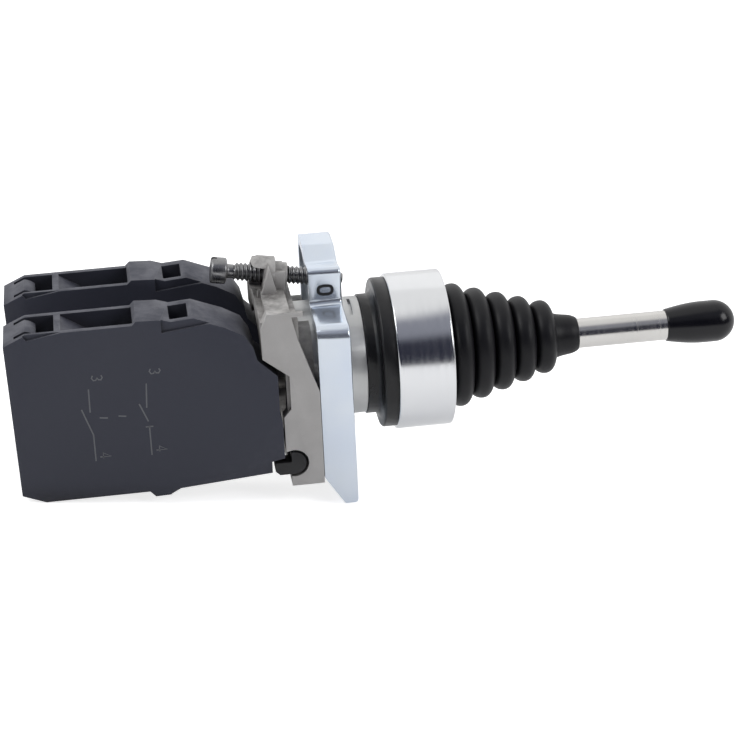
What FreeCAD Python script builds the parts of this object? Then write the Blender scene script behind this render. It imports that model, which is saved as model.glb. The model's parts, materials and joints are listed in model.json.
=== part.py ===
import FreeCAD, Part
import math
import os

V = FreeCAD.Vector

# Frame: X runs along the lever towards the hand, Z up, the origin on the lever axis at the panel seat.
# All lengths are in millimetres and all angles in degrees.

# General clearances
fit_gap = 0.05          # radial gap of a pin that turns in its hole
seat_gap = 0.1          # gap between parts that are only set together
slide_gap = 0.15        # gap each side of a sliding or rolling contact
free_gap = 0.3          # gap kept between parts that move past each other

# Panel cut-out and head
neck_radius = 11.05
neck_length = 15.9
neck_wall = 1.15
neck_bore_radius = neck_radius - neck_wall
groove_radius = neck_radius - 0.55
gasket_thickness = 2.6
gasket_collar_radius = neck_radius + 0.25
gasket_collar_length = 2.7
bezel_overhang = 3.7    # how far the bezel covers the panel round the neck
bezel_radius = neck_radius + bezel_overhang
neck_edge = 0.4
bezel_length = 10.6
bezel_wall = 1.7
bezel_lip = 1.3
gasket_radius = bezel_radius - 0.6
head_wall = 1.55
head_bore_radius = bezel_radius - bezel_wall - seat_gap - head_wall
head_step = 1.3
key_depth = 0.6         # short groove round the top of the neck
key_rear_x = -4.85
key_width = 0.55
key_near_y = 4.6
key_far_y = 0.8

# Lever and its gimbal
press_gap = 0.02        # radial gap drawn where a pin or rod is pressed in
pivot_x = 7.0
tilt_limit = 15.0
rod_radius = 2.85
rod_end_x = 61.5
rod_edge = 0.4
hub_radius = rod_radius + 1.35
hub_half_length = 3.2
hub_edge = 0.5
tail_radius = 1.5
tail_end_x = -4.6
pin_radius = 1.2
push_rod_radius = 0.75
push_rod_circle = neck_bore_radius - push_rod_radius - 0.38
arm_offset = push_rod_circle / math.sqrt(2)
arm_tip_radius = 0.8
arm_bar_radius = 0.6
arm_reach = 1.47        # how far an arm tip stands beyond the gimbal ring
ring_outer_radius = push_rod_circle - arm_reach
ring_wall = 2.05
ring_inner_radius = ring_outer_radius - ring_wall
ring_half_width = 2.1
bail_gap = 0.85
bail_wall = 1.25
bail_inner_radius = ring_outer_radius + bail_gap
bail_outer_radius = bail_inner_radius + bail_wall
bail_half_width = 2.6
bail_slot_half = tail_radius + 0.2
bail_ear = 0.7
arm_root_depth = 0.7    # how deep the root of an arm sits in its ring
push_rod_end_x = -neck_length - 0.7
fork_half_length = 2.3
fork_wall = 1.05
foot_thickness = 1.4
foot_pad_wall = 0.6
foot_strip_half = 1.2

# Centring spring, wound of square wire, and its seat
spring_radius = 2.8
spring_wire_half = 0.3
spring_turns = 4.0
spring_seat_x = -neck_length + 4.4
spring_seat_thickness = 1.6
spring_hold = 2.0       # how far the spring reaches over the end of the lever's tail

# Knob
knob_start_x = 56.1
knob_length = 13.6
knob_base_radius = 3.15
knob_radius = 4.0

# Rubber boot
boot_first_ring_x = 15.6
boot_pitch = 4.15
boot_ring_count = 5
boot_first_radius = head_bore_radius + 0.3
boot_radius_step = 1.18
boot_bead_radius = 2.0
boot_valley_depth = 2.35
boot_wall = 0.9
boot_collar_end_x = 38.9
boot_collar_radius = 4.05
boot_foot_thickness = 1.0

# Contact blocks side by side, which set the width and the height of the plate and the collar
block_pitch = 20.0
block_width = 10.0
block_mid_z = -0.5
block_overhang = 5.55    # how far the blocks reach past the neck, above and below
block_half_height = neck_radius + block_overhang
block_front_x = -neck_length - 3.4
block_top_z = block_mid_z + block_half_height
block_bottom_z = block_mid_z - block_half_height
rear_half_width = (block_pitch + block_width) / 2

# Panel plate behind the panel
plate_half_width = rear_half_width
plate_front_x = -6.0
plate_depth = 6.1
plate_wall = 1.6
plate_bottom_z = block_bottom_z - 6.8
plate_shelf_z = neck_radius + 0.95
plate_tab_side_y = -3.3
plate_tab_near_z = block_top_z + 3.1
plate_tab_far_z = block_top_z + 4.1
plate_tab_dip = 0.9
plate_corner = 2.6
plate_edge = 0.56
plate_bore_clearance = 0.3

# Cast collar
collar_half_width = rear_half_width
collar_wall = 2.8
collar_front_gap = 0.1
collar_front_x = plate_front_x - plate_depth - collar_front_gap
collar_rear_x = block_front_x + 1.7
collar_bottom_z = block_bottom_z - 1.7
collar_floor = 3.0
collar_shelf_z = block_top_z - 3.2
collar_shelf_rise = 2.5
collar_ring_radius = neck_radius + 1.55
collar_web_inset = 1.0
collar_web_top_z = collar_shelf_z + 1.1
collar_rear_web = 3.0
collar_lip = 0.8
collar_lip_rise = 0.35
collar_bore_clearance = 0.1
boss_radius = 3.3
boss_start = 5.9        # along the clamp screw from the middle of its head
boss_step = 10.2
boss_end = 12.6
boss_round = 1.1
boss_low_radius = 2.3
boss_mouth_end = 8.2

# Lock lever in the foot of the collar
lock_x = collar_rear_x
lock_z = block_bottom_z + 2.9
lock_radius = 2.2
lock_room = 0.5
lock_axle_radius = 1.0
lock_end_width = 3.4
lock_tail_length = 3.6

# Clamp screw
screw_y = 1.0
screw_lean = 9.16
screw_head_x = collar_rear_x - 10.7
screw_head_z = collar_shelf_z + 6.06
screw_head_radius = 2.45
screw_head_length = 2.9
screw_head_edge = 0.5
screw_slot_half = 0.35
screw_slot_depth = 1.0
screw_neck_radius = 1.3
screw_neck_length = 1.3
screw_radius = 1.7
screw_tip_reach = 23.2

# Contact blocks
block_length = 48.9
block_rear_x = block_front_x - block_length
block_wall = 1.2
cover_thickness = 1.0
cover_chamfer = 2.0
cavity_half_height = block_half_height - 9.0
terminal_width = 7.6
lug_radius = 3.2
lug_half_width = 0.36 * terminal_width
stem_y = 8.6
stem_radius = 1.0
stem_eye_wall = 0.8
stem_gap = 0.02
carriage_half_width = 2.2
carriage_half_height = 0.395 * cavity_half_height
window_half = 2.4
window_half_width = 1.5
bridge_half_width = 1.3
bridge_half_span = cavity_half_height - 1.4
bridge_thickness = 0.8
bridge_x = (block_front_x - 26.9, block_front_x - 14.9)
leaf_half_height = 0.8 * carriage_half_height
leaf_half_width = 1.0
contact_gap = 1.75
contact_half_width = 1.5
contact_thickness = 0.8
terminal_screw_radius = 1.6
terminal_head_radius = 2.3
terminal_head_length = 1.6
terminal_shank_length = 6.8
terminal_bore_rest = 2.4
terminal_slot_half = 0.3
terminal_slot_depth = 0.7


def box(x0, x1, y0, y1, z0, z1):
    return Part.makeBox(x1 - x0, y1 - y0, z1 - z0, V(x0, y0, z0))


def rod(x0, x1, radius, y=0.0, z=0.0):
    return Part.makeCylinder(radius, x1 - x0, V(x0, y, z), V(1, 0, 0))


def bar(start, end, radius):
    # round bar between two points
    line = end.sub(start)
    return Part.makeCylinder(radius, line.Length, start, line)


def turned(profile):
    # solid of revolution about X from (x, radius) points
    points = [V(x, 0, r) for x, r in profile]
    wire = Part.makePolygon(points + [points[0]])
    return Part.Face(wire).revolve(V(0, 0, 0), V(1, 0, 0), 360)


def side_prism(points, y0, y1):
    # outline given in X and Z, carried along Y
    wire = Part.makePolygon([V(x, y0, z) for x, z in points + [points[0]]])
    return Part.Face(wire).extrude(V(0, y1 - y0, 0))


def rounded_wire(corners, x0):
    # closed outline in Y and Z whose corners carry their own radius
    edges = []
    ends = []
    count = len(corners)
    for i in range(count):
        before = V(x0, *corners[i - 1][:2])
        here = V(x0, *corners[i][:2])
        after = V(x0, *corners[(i + 1) % count][:2])
        radius = corners[i][2]
        back = before.sub(here).normalize()
        forth = after.sub(here).normalize()
        half = back.getAngle(forth) / 2
        reach = radius / math.tan(half)
        start = here.add(V(back).multiply(reach))
        end = here.add(V(forth).multiply(reach))
        middle = V(back).add(forth).normalize()
        depth = radius / math.sin(half) - radius
        ends.append((start, here.add(middle.multiply(depth)), end))
    for i in range(count):
        start, middle, end = ends[i]
        edges.append(Part.Arc(start, middle, end).toShape())
        edges.append(Part.LineSegment(end, ends[(i + 1) % count][0]).toShape())
    return Part.Wire(edges)


def lean(shape):
    # from the screw's own frame, head centre at the origin, to its place in the collar
    shape.rotate(V(0, 0, 0), V(0, 1, 0), screw_lean)
    shape.translate(V(screw_head_x, screw_y, screw_head_z))
    return shape


def save(name, shape):
    shape.exportStep("parts/" + name + ".step")


# Head

head_flange_x = gasket_thickness
head_front_x = head_flange_x + bezel_length - bezel_lip - boot_foot_thickness
head_flange_radius = bezel_radius - bezel_wall - seat_gap


def head_body():
    shell = turned([
        (-neck_length, neck_bore_radius),
        (-neck_length, neck_radius - neck_edge),
        (-neck_length + neck_edge, neck_radius),
        (-gasket_collar_length - seat_gap, neck_radius),
        (-gasket_collar_length - seat_gap, groove_radius),
        (head_flange_x, groove_radius),
        (head_flange_x, head_flange_radius),
        (head_front_x, head_flange_radius),
        (head_front_x, head_bore_radius),
        (head_flange_x + head_step, head_bore_radius),
        (head_flange_x + head_step, neck_bore_radius),
    ])
    for direction in (V(0, 1, 0), V(0, 0, 1)):
        for sign in (-1, 1):
            hole = Part.makeCylinder(pin_radius + fit_gap, bezel_radius, V(pivot_x, 0, 0), direction * sign)
            shell = shell.cut(hole)
    key_front_x = key_rear_x + key_width
    around = rod(key_rear_x, key_front_x, neck_radius + 1).cut(rod(key_rear_x, key_front_x, neck_radius - key_depth))
    top = box(key_rear_x, key_front_x, -key_near_y, key_far_y, 0, 2 * neck_radius)
    shell = shell.cut(around.common(top))
    for sign in (-1, 1):
        shell = shell.cut(foot_way(sign))
    return shell


def foot_way(sign):
    # window in the rear end of the neck through which a push rod foot reaches its block
    travel = arm_offset * math.sin(math.radians(tilt_limit))
    front = push_rod_end_x + foot_thickness + travel + free_gap
    room = push_rod_radius + foot_pad_wall + free_gap
    y0, y1 = sorted((sign * (arm_offset - room), sign * 2 * neck_radius))
    below = stem_radius + stem_eye_wall + 5 * free_gap
    z0, z1 = sorted((sign * (arm_offset + room + free_gap), -sign * below))
    return box(-neck_length - 1, front, y0, y1, z0, z1)


def panel_gasket():
    inner = groove_radius + fit_gap
    return turned([
        (-gasket_collar_length, inner),
        (-gasket_collar_length, gasket_collar_radius),
        (-0.9, gasket_collar_radius),
        (-0.35, gasket_collar_radius + 0.35),
        (0.0, gasket_collar_radius + 1.1),
        (0.0, gasket_radius - 0.3),
        (0.3, gasket_radius),
        (gasket_thickness, gasket_radius),
        (gasket_thickness, inner),
    ])


def bezel_ring():
    rear = head_flange_x
    front = rear + bezel_length
    edge = 0.3
    inner = bezel_radius - bezel_wall
    mouth = boot_first_radius + seat_gap
    return turned([
        (rear, inner),
        (rear, bezel_radius - edge),
        (rear + edge, bezel_radius),
        (front - edge, bezel_radius),
        (front, bezel_radius - edge),
        (front, mouth),
        (front - bezel_lip, mouth),
        (front - bezel_lip, inner),
    ])


# Rubber boot

def boot_ring(i):
    # centre and crest radius of one fold
    return boot_first_ring_x + i * boot_pitch, boot_first_radius - i * boot_radius_step


def boot_outline(first, last):
    # crest arcs joined by valley points, as edges in the X-Z plane
    edges = []
    for i in range(first, last + 1):
        x, crest = boot_ring(i)
        half = boot_pitch / 2
        rear = V(x - half, 0, crest - boot_valley_depth + boot_radius_step / 2)
        top = V(x, 0, crest)
        front = V(x + half, 0, crest - boot_valley_depth - boot_radius_step / 2)
        edges.append(Part.Arc(rear, V(x - half * 0.72, 0, crest - boot_bead_radius * 0.42), top).toShape())
        edges.append(Part.Arc(top, V(x + half * 0.76, 0, crest - boot_bead_radius * 0.46), front).toShape())
    return edges


def closed_turned(edges, inner_points):
    start = edges[0].Vertexes[0].Point
    end = edges[-1].Vertexes[-1].Point
    path = [end] + [V(x, 0, r) for x, r in inner_points] + [start]
    for a, b in zip(path, path[1:]):
        edges.append(Part.LineSegment(a, b).toShape())
    face = Part.Face(Part.Wire(edges))
    return face.revolve(V(0, 0, 0), V(1, 0, 0), 360)


split_ring = 2
split_x = boot_first_ring_x + (split_ring - 0.5) * boot_pitch
boot_inner_front = rod_radius + fit_gap


def boot_inner_radius(x):
    # the inside of the boot is a plain cone under the valleys
    start, crest = boot_ring(0)
    slope = boot_radius_step / boot_pitch
    return crest - boot_valley_depth - boot_wall - (x - start) * slope


def boot_lower():
    edges = boot_outline(0, split_ring - 1)
    foot_front = head_flange_x + bezel_length - bezel_lip
    foot_rear = foot_front - boot_foot_thickness
    start = edges[0].Vertexes[0].Point
    lead = [
        V(foot_rear, 0, head_flange_radius),
        V(foot_front, 0, head_flange_radius),
        V(foot_front, 0, start.z),
        start,
    ]
    edges = [Part.LineSegment(a, b).toShape() for a, b in zip(lead, lead[1:])] + edges
    inner = boot_inner_radius(foot_front)
    return closed_turned(edges, [
        (split_x, boot_inner_radius(split_x)),
        (foot_front, inner),
        (foot_rear, inner),
    ])


def boot_upper():
    edges = boot_outline(split_ring, boot_ring_count - 1)
    end = edges[-1].Vertexes[-1].Point
    tail = [
        end,
        V(boot_collar_end_x - 2.3, 0, boot_collar_radius - 0.25),
        V(boot_collar_end_x - 0.5, 0, boot_collar_radius - 0.85),
        V(boot_collar_end_x, 0, boot_inner_front + 0.25),
    ]
    for a, b in zip(tail, tail[1:]):
        edges.append(Part.LineSegment(a, b).toShape())
    throat_x = boot_ring(boot_ring_count - 1)[0] + boot_pitch / 2
    return closed_turned(edges, [
        (boot_collar_end_x, boot_inner_front),
        (throat_x, boot_inner_front),
        (split_x, boot_inner_radius(split_x)),
    ])


# Lever

def lever_rod():
    return turned([
        (tail_end_x, 0),
        (tail_end_x, tail_radius - rod_edge),
        (tail_end_x + rod_edge, tail_radius),
        (pivot_x - hub_half_length - rod_edge, tail_radius),
        (pivot_x - hub_half_length, rod_radius),
        (rod_end_x - rod_edge, rod_radius),
        (rod_end_x, rod_radius - rod_edge),
        (rod_end_x, 0),
    ]).cut(lever_pin_hole(press_gap))


def lever_pin_hole(gap):
    reach = ring_outer_radius + 1
    return Part.makeCylinder(pin_radius + gap, 2 * reach, V(pivot_x, 0, -reach), V(0, 0, 1))


def lever_hub():
    rear = pivot_x - hub_half_length
    front = pivot_x + hub_half_length
    hub = turned([
        (rear, rod_radius + press_gap),
        (rear, hub_radius - hub_edge),
        (rear + hub_edge, hub_radius),
        (front - hub_edge, hub_radius),
        (front, hub_radius - hub_edge),
        (front, rod_radius + press_gap),
    ])
    return hub.cut(lever_pin_hole(press_gap))


def lever_pin():
    reach = ring_outer_radius - seat_gap
    return Part.makeCylinder(pin_radius, 2 * reach, V(pivot_x, 0, -reach), V(0, 0, 1))


def knob():
    tip = knob_start_x + knob_length
    dome = tip - knob_radius
    profile = [
        Part.LineSegment(V(knob_start_x, 0, 0), V(knob_start_x, 0, knob_base_radius)).toShape(),
        Part.Arc(V(knob_start_x, 0, knob_base_radius), V(knob_start_x + 3.2, 0, knob_radius - 0.28),
                 V(dome - 1.4, 0, knob_radius)).toShape(),
        Part.LineSegment(V(dome - 1.4, 0, knob_radius), V(dome, 0, knob_radius)).toShape(),
        Part.Arc(V(dome, 0, knob_radius), V(dome + knob_radius * math.sin(math.pi / 4), 0,
                 knob_radius * math.cos(math.pi / 4)), V(tip, 0, 0)).toShape(),
        Part.LineSegment(V(tip, 0, 0), V(knob_start_x, 0, 0)).toShape(),
    ]
    body = Part.Face(Part.Wire(profile)).revolve(V(0, 0, 0), V(1, 0, 0), 360)
    socket = rod(knob_start_x - 1, rod_end_x + seat_gap, rod_radius + press_gap)
    return body.cut(socket)


# Gimbal: the ring turns about Y, the lever turns in the ring about Z, the bail follows it about Z

def arm(start, tip):
    # round bar with the ball that sits in a push rod's fork
    return bar(start, tip, arm_bar_radius).fuse(Part.makeSphere(arm_tip_radius, tip))


def gimbal_ring():
    rear = pivot_x - ring_half_width
    front = pivot_x + ring_half_width
    ring = rod(rear, front, ring_outer_radius).cut(rod(rear - 1, front + 1, ring_inner_radius))
    ring = ring.cut(lever_pin_hole(fit_gap))
    ring = ring.cut(Part.makeCylinder(pin_radius + press_gap, 2 * bezel_radius,
                                      V(pivot_x, -bezel_radius, 0), V(0, 1, 0)))
    tip = V(pivot_x, -arm_offset, -arm_offset)
    root = (ring_outer_radius - arm_root_depth) / math.sqrt(2)
    start = V(pivot_x, -root, -root)
    return ring.fuse(arm(start, tip)).removeSplitter()


def trunnion_pair(direction, inner):
    outer = head_flange_radius - seat_gap
    pins = []
    for sign in (-1, 1):
        start = V(pivot_x, 0, 0).add(direction * (sign * inner))
        end = V(pivot_x, 0, 0).add(direction * (sign * outer))
        pins.append(bar(start, end, pin_radius))
    return Part.makeCompound(pins)


def slotted_bail():
    width = 2 * bail_half_width
    centre = V(pivot_x, -bail_half_width, 0)
    outer = Part.makeCylinder(bail_outer_radius, width, centre, V(0, 1, 0))
    inner = Part.makeCylinder(bail_inner_radius, width, centre, V(0, 1, 0))
    bail = outer.cut(inner)
    size = 2 * bail_outer_radius
    bail = bail.cut(box(pivot_x + pin_radius + bail_ear, pivot_x + size, -size, size, -size, size))
    slot_reach = bail_outer_radius * math.sin(math.radians(tilt_limit + 14))
    slot = box(pivot_x - size, pivot_x - 2, -bail_slot_half, bail_slot_half, -slot_reach, slot_reach)
    bail = bail.cut(slot)
    bail = bail.cut(Part.makeCylinder(pin_radius + press_gap, 2 * size, V(pivot_x, 0, -size), V(0, 0, 1)))
    tip = V(pivot_x, arm_offset, arm_offset)
    start = V(pivot_x, bail_half_width - arm_root_depth, bail_inner_radius + 0.3 * bail_wall)
    return bail.fuse(arm(start, tip)).removeSplitter()


def push_rod(sign):
    # built on the near lower side for sign -1, on the far upper side for sign 1
    half_slot = arm_tip_radius + slide_gap
    inner = ring_swept_radius() + free_gap
    outer = neck_bore_radius - 1.5 * free_gap
    rear = pivot_x - fork_half_length
    fork = box(rear, pivot_x + fork_half_length, inner, outer, -half_slot - fork_wall, half_slot + slide_gap)
    notch = box(pivot_x - half_slot, pivot_x + half_slot, inner - 1, outer + 1, -half_slot, half_slot + 1)
    fork = fork.cut(notch)
    shaft = rod(push_rod_end_x, rear + 0.2, push_rod_radius, push_rod_circle, 0)
    shape = fork.fuse(shaft)
    # the rod is laid out along +Y and then turned onto its diagonal
    shape.rotate(V(0, 0, 0), V(1, 0, 0), 45 if sign > 0 else 225)
    foot_y = sign * stem_y
    start = V(push_rod_end_x, sign * arm_offset, sign * arm_offset)
    end = V(push_rod_end_x, foot_y, block_mid_z)
    foot_front = push_rod_end_x + foot_thickness
    pad = rod(push_rod_end_x, foot_front, push_rod_radius + foot_pad_wall, start.y, start.z)
    eye = rod(push_rod_end_x, foot_front, stem_radius + stem_eye_wall, end.y, end.z)
    across = V(0, end.y - start.y, end.z - start.z)
    side = V(1, 0, 0).cross(across).normalize() * foot_strip_half
    corners = [start.add(side), end.add(side), end.sub(side), start.sub(side)]
    strip = Part.Face(Part.makePolygon(corners + [corners[0]])).extrude(V(foot_thickness, 0, 0))
    hole = rod(push_rod_end_x - 1, push_rod_end_x + 3, stem_radius, end.y, end.z)
    return shape.fuse([pad, eye, strip]).cut(hole).removeSplitter()


def ring_swept_radius():
    return math.hypot(ring_outer_radius, ring_half_width)


def spring_seat():
    rear = spring_seat_x - spring_seat_thickness
    disc = rod(rear, spring_seat_x, neck_bore_radius - seat_gap / 2)
    disc = disc.cut(rod(rear - 1, spring_seat_x + 1, spring_radius - spring_wire_half - 0.5))
    for sign in (-1, 1):
        place = sign * arm_offset
        disc = disc.cut(rod(rear - 1, spring_seat_x + 1, push_rod_radius + free_gap, place, place))
    return disc


def centring_spring():
    # slipped over the end of the lever's tail, its rear coil on the seat
    rear = spring_seat_x + spring_wire_half + fit_gap
    length = tail_end_x + spring_hold - rear
    path = Part.makeHelix(length / spring_turns, length, spring_radius)
    inner = spring_radius - spring_wire_half
    outer = spring_radius + spring_wire_half
    corners = [V(r, 0, z * spring_wire_half) for r, z in ((inner, -1), (outer, -1), (outer, 1), (inner, 1))]
    section = Part.makePolygon(corners + [corners[0]])
    coil = Part.Wire(path).makePipeShell([section], True, True)
    coil.rotate(V(0, 0, 0), V(0, 1, 0), 90)
    coil.translate(V(rear, 0, 0))
    return coil


# Plate and collar

def plate_corners(inset):
    half = plate_half_width - inset
    side = plate_tab_side_y + inset
    grow = 1 if inset else 0
    return [
        (-half, plate_bottom_z + inset, 1.0 - 0.4 * grow),
        (-half, plate_shelf_z - inset, plate_corner - grow),
        (side, plate_shelf_z - inset, 1.2 + 0.8 * grow),
        (side, plate_tab_near_z - inset, 1.2 - 0.5 * grow),
        (plate_tab_side_y + 5.6, plate_tab_near_z - plate_tab_dip - inset, 2.5),
        (plate_tab_side_y + 10.4, plate_tab_far_z - inset, 2.5),
        (half, plate_tab_far_z - inset, plate_corner - grow),
        (half, plate_bottom_z + inset, 1.0 - 0.4 * grow),
    ]


def clamp_plate():
    rear = plate_front_x - plate_depth
    tray = Part.Face(rounded_wire(plate_corners(0), rear)).extrude(V(plate_depth, 0, 0))
    front_edges = [e for e in tray.Edges if e.BoundBox.XMin > plate_front_x - 0.01]
    tray = tray.makeFillet(plate_edge, front_edges)
    inside = rounded_wire(plate_corners(plate_wall), rear - 1)
    hollow = Part.Face(inside).extrude(V(plate_depth - plate_wall + 1, 0, 0))
    tray = tray.cut(hollow)
    bore = neck_radius + plate_bore_clearance
    tray = tray.cut(rod(rear - 1, plate_front_x + 1, bore))
    slant = [
        (rear - 1, plate_bottom_z + 6.7), (rear, plate_bottom_z + 6.0),
        (plate_front_x - 2.2, plate_bottom_z - 0.2), (rear - 1, plate_bottom_z - 2),
    ]
    tray = tray.cut(side_prism(slant, -2 * plate_half_width, 2 * plate_half_width))
    tip_hole = lean(rod(10, 30, screw_radius + free_gap))
    return tray.cut(tip_hole)


def wall_outline():
    # side wall of the collar, X and Z
    rear = collar_rear_x
    top = collar_shelf_z
    return [
        (rear - 4.7, top), (rear - 4.7, top - 5.7), (rear, top - 9.5), (rear, block_mid_z - 2.7),
        (rear - 1.4, block_mid_z - 4.3), (rear - 1.4, lock_z + 2.6), (rear - 0.6, lock_z + 1.8),
        (rear - 0.6, collar_bottom_z), (collar_front_x, collar_bottom_z), (collar_front_x, block_mid_z + 0.3),
        (rear + 2.0, top - 2.9), (rear + 0.9, top + 2.3), (rear - 3.4, top + 3.0),
    ]


def lock_pocket():
    # bearing for the axle and room for both ends of the lock lever
    along = V(0, 1, 0)
    half = collar_half_width
    pocket = Part.makeCylinder(lock_axle_radius + fit_gap, 2 * half, V(lock_x, -half, lock_z), along)
    width = lock_end_width + free_gap + 1
    for start in (-half - 1, half - lock_end_width - free_gap):
        recess = Part.makeCylinder(lock_radius + lock_room, width, V(lock_x, start, lock_z), along)
        pocket = pocket.fuse(recess)
    return pocket


def collar_frame():
    # the two side walls joined by the shelf, the floor and the webs, and the ring round the neck
    half = collar_half_width
    inner = half - collar_web_inset
    rear = collar_rear_x
    shelf = collar_shelf_z
    near = side_prism(wall_outline(), -half, -half + collar_wall)
    far = side_prism(wall_outline(), half - collar_wall, half)
    bridge = box(rear - 3.4, rear + 0.9, -half, half, shelf, shelf + collar_shelf_rise)
    floor = box(rear - 0.6, collar_front_x, -half, half, collar_bottom_z, collar_bottom_z + collar_floor)
    web = box(rear - 0.6, rear + 2.2, -inner, inner, collar_bottom_z + 1, collar_web_top_z)
    rear_web = box(rear - 4.6, rear - 4.6 + collar_rear_web, -inner, inner, shelf - 5.7, collar_web_top_z)
    lip_top = shelf + collar_shelf_rise + collar_lip_rise
    lip = box(rear - 2.6, rear + 3.1, -half, -half + collar_lip, lip_top - collar_lip, lip_top)
    ring = rod(rear - 0.2, collar_front_x - 0.5, collar_ring_radius)
    ring = ring.cut(box(rear - 1, collar_front_x, -2 * half, 2 * half, shelf - collar_floor, 2 * half))
    return near.fuse([far, bridge, floor, web, rear_web, lip, ring])


def screw_boss():
    # boss of the clamp screw with its rounded rear rim, its foot on the shelf and its rib
    rear = collar_rear_x
    shelf = collar_shelf_z
    high = lean(turned([
        (boss_start, 0), (boss_start, boss_radius - boss_round),
        (boss_start + 0.3 * boss_round, boss_radius - 0.3 * boss_round),
        (boss_start + boss_round, boss_radius), (boss_step, boss_radius), (boss_step, 0),
    ]))
    low = lean(rod(boss_step - 0.1, boss_end, boss_low_radius))
    side = boss_radius - 0.3
    foot = side_prism([
        (rear - 4.0, shelf + 1.1), (rear + 1.2, shelf + 1.1),
        (rear + 1.4, shelf + 5.7), (rear - 3.4, shelf + 6.0),
    ], screw_y - side, screw_y + side)
    rib = side_prism([
        (rear - 3.4, shelf + 2.3), (rear - 0.4, shelf + 2.3), (rear - 1.6, shelf + 7.4),
    ], screw_y - boss_radius - 1.8, screw_y)
    return high.fuse([low, foot, rib])


def clamp_collar():
    body = collar_frame().fuse(screw_boss())
    body = body.cut(rod(2 * collar_rear_x, 0, neck_radius + collar_bore_clearance))
    body = body.cut(lean(rod(boss_start - 2, boss_end + 2, screw_radius + seat_gap)))
    mouth = box(boss_start - 2, boss_mouth_end, -boss_radius - 1, 0, -screw_radius - 0.5, screw_radius + 0.2)
    return body.cut(lean(mouth)).cut(lock_pocket()).removeSplitter()


def clamp_screw():
    head = rod(-screw_head_length / 2, screw_head_length / 2, screw_head_radius)
    rims = [e for e in head.Edges if e.Curve.TypeId == "Part::GeomCircle"]
    head = head.makeFillet(screw_head_edge, rims)
    neck_end = screw_head_length / 2 + screw_neck_length
    shank = rod(screw_head_length / 2 - 0.3, neck_end, screw_neck_radius)
    thread = turned([
        (neck_end, 0), (neck_end, screw_radius - 0.35), (neck_end + 0.35, screw_radius),
        (screw_tip_reach - 0.9, screw_radius), (screw_tip_reach, screw_radius - 0.8), (screw_tip_reach, 0),
    ])
    screw = head.fuse([shank, thread])
    slot_end = -screw_head_length / 2 + screw_slot_depth
    reach = 2 * screw_head_radius
    slot = box(-screw_head_length, slot_end, -screw_slot_half, screw_slot_half, -reach, reach)
    return lean(screw.cut(slot).removeSplitter())


def lock_lever():
    # each end is a disc whose upper rear part is cut away above a thick hooked tail
    inner = collar_half_width - lock_end_width
    lever = Part.makeCylinder(lock_axle_radius, 2 * inner + 1, V(lock_x, -inner - 0.5, lock_z), V(0, 1, 0))
    low = lock_z - lock_radius
    high = lock_z + 0.25
    rear = lock_x - lock_tail_length
    tail = [(rear, low + 0.8), (rear + 0.8, low), (lock_x, low), (lock_x, high), (rear, high)]
    for start in (-collar_half_width, inner):
        end = start + lock_end_width
        disc = Part.makeCylinder(lock_radius, lock_end_width, V(lock_x, start, lock_z), V(0, 1, 0))
        disc = disc.cut(box(rear, lock_x - 0.5, start - 1, end + 1, high, high + 2 * lock_radius))
        lever = lever.fuse([disc, side_prism(tail, start, end)])
    return lever.removeSplitter()


# Contact blocks, laid out about their own mid plane Y = 0 and then moved to their side

def block_outline():
    top = block_top_z
    bottom = block_bottom_z
    rear = block_rear_x
    front = block_front_x
    middle = block_mid_z
    return [
        (rear, top - 1.9), (rear + 4.0, top - 0.1), (rear + 23.0, top),
        (rear + 23.8, top + 0.8), (rear + 27.9, top + 0.6), (rear + 30.0, top - 0.1),
        (front - 14.8, top + 0.2), (front - 11.1, top - 1.3), (front - 9.3, top - 2.0),
        (front - 6.0, top - 3.9), (front - 4.5, top - 6.4), (front - 3.9, top - 9.0),
        (front - 0.4, middle + 4.1), (front - 0.4, middle - 3.5), (front, middle - 5.2),
        (front, bottom + 4.1), (front - 2.4, bottom + 3.6), (front - 2.4, bottom + 1.0),
        (front - 19.5, bottom), (front - 21.2, bottom - 1.0), (front - 24.2, bottom - 1.1),
        (front - 25.2, bottom), (rear + 4.7, bottom - 0.1), (rear + 0.5, bottom + 1.6),
    ]


def mirrored(shape):
    return shape.mirror(V(0, 0, block_mid_z), V(0, 0, 1))


def terminal_pockets():
    # what is open along the narrow top face, all within the terminal width
    half = terminal_width / 2
    top = block_top_z
    well = box(block_rear_x + 5.9, block_rear_x + 9.2, -half, half, top - 6.5, top + 3)
    lug_room = side_prism([
        (block_rear_x + 1.9, top - 2.2), (block_rear_x + 2.3, top + 3), (block_rear_x + 6.0, top + 3),
        (block_rear_x + 6.0, top - 2.2)], -half, half)
    lug_start = V(block_rear_x + 3.6, -lug_half_width, top - 3.3)
    lug = Part.makeCylinder(lug_radius, 2 * lug_half_width, lug_start, V(0, 1, 0))
    funnel = side_prism([
        (block_rear_x + 10.4, top - 0.3), (block_rear_x + 10.4, top + 3), (block_rear_x + 23.2, top + 3),
        (block_rear_x + 23.2, top - 6.8), (block_rear_x + 20.5, top - 6.8)], -half, half)
    entry = box(block_rear_x + 29.8, block_rear_x + 33.2, -half + 0.6, half - 0.6, top - 7.5, top + 3)
    screw_way = rod(block_rear_x - 1, block_rear_x + 6.5, terminal_head_radius + free_gap, 0, top - 5.3)
    return [well, lug_room.cut(lug), funnel, entry, screw_way]


def terminal_places():
    # where the two upper terminal screws of a block sit, each with its angle about Y
    front = V(block_rear_x + 21.2, 0, block_top_z - 4.6)
    rear = V(block_rear_x + 3.6, 0, block_top_z - 5.3)
    return ((front, 22.0), (rear, 0.0))


def block_cavity():
    half = block_width / 2 - block_wall
    z0 = block_mid_z - cavity_half_height
    z1 = block_mid_z + cavity_half_height
    return box(block_rear_x + 5.0, block_front_x - 5.4, -half, block_width / 2 + 1, z0, z1)


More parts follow.
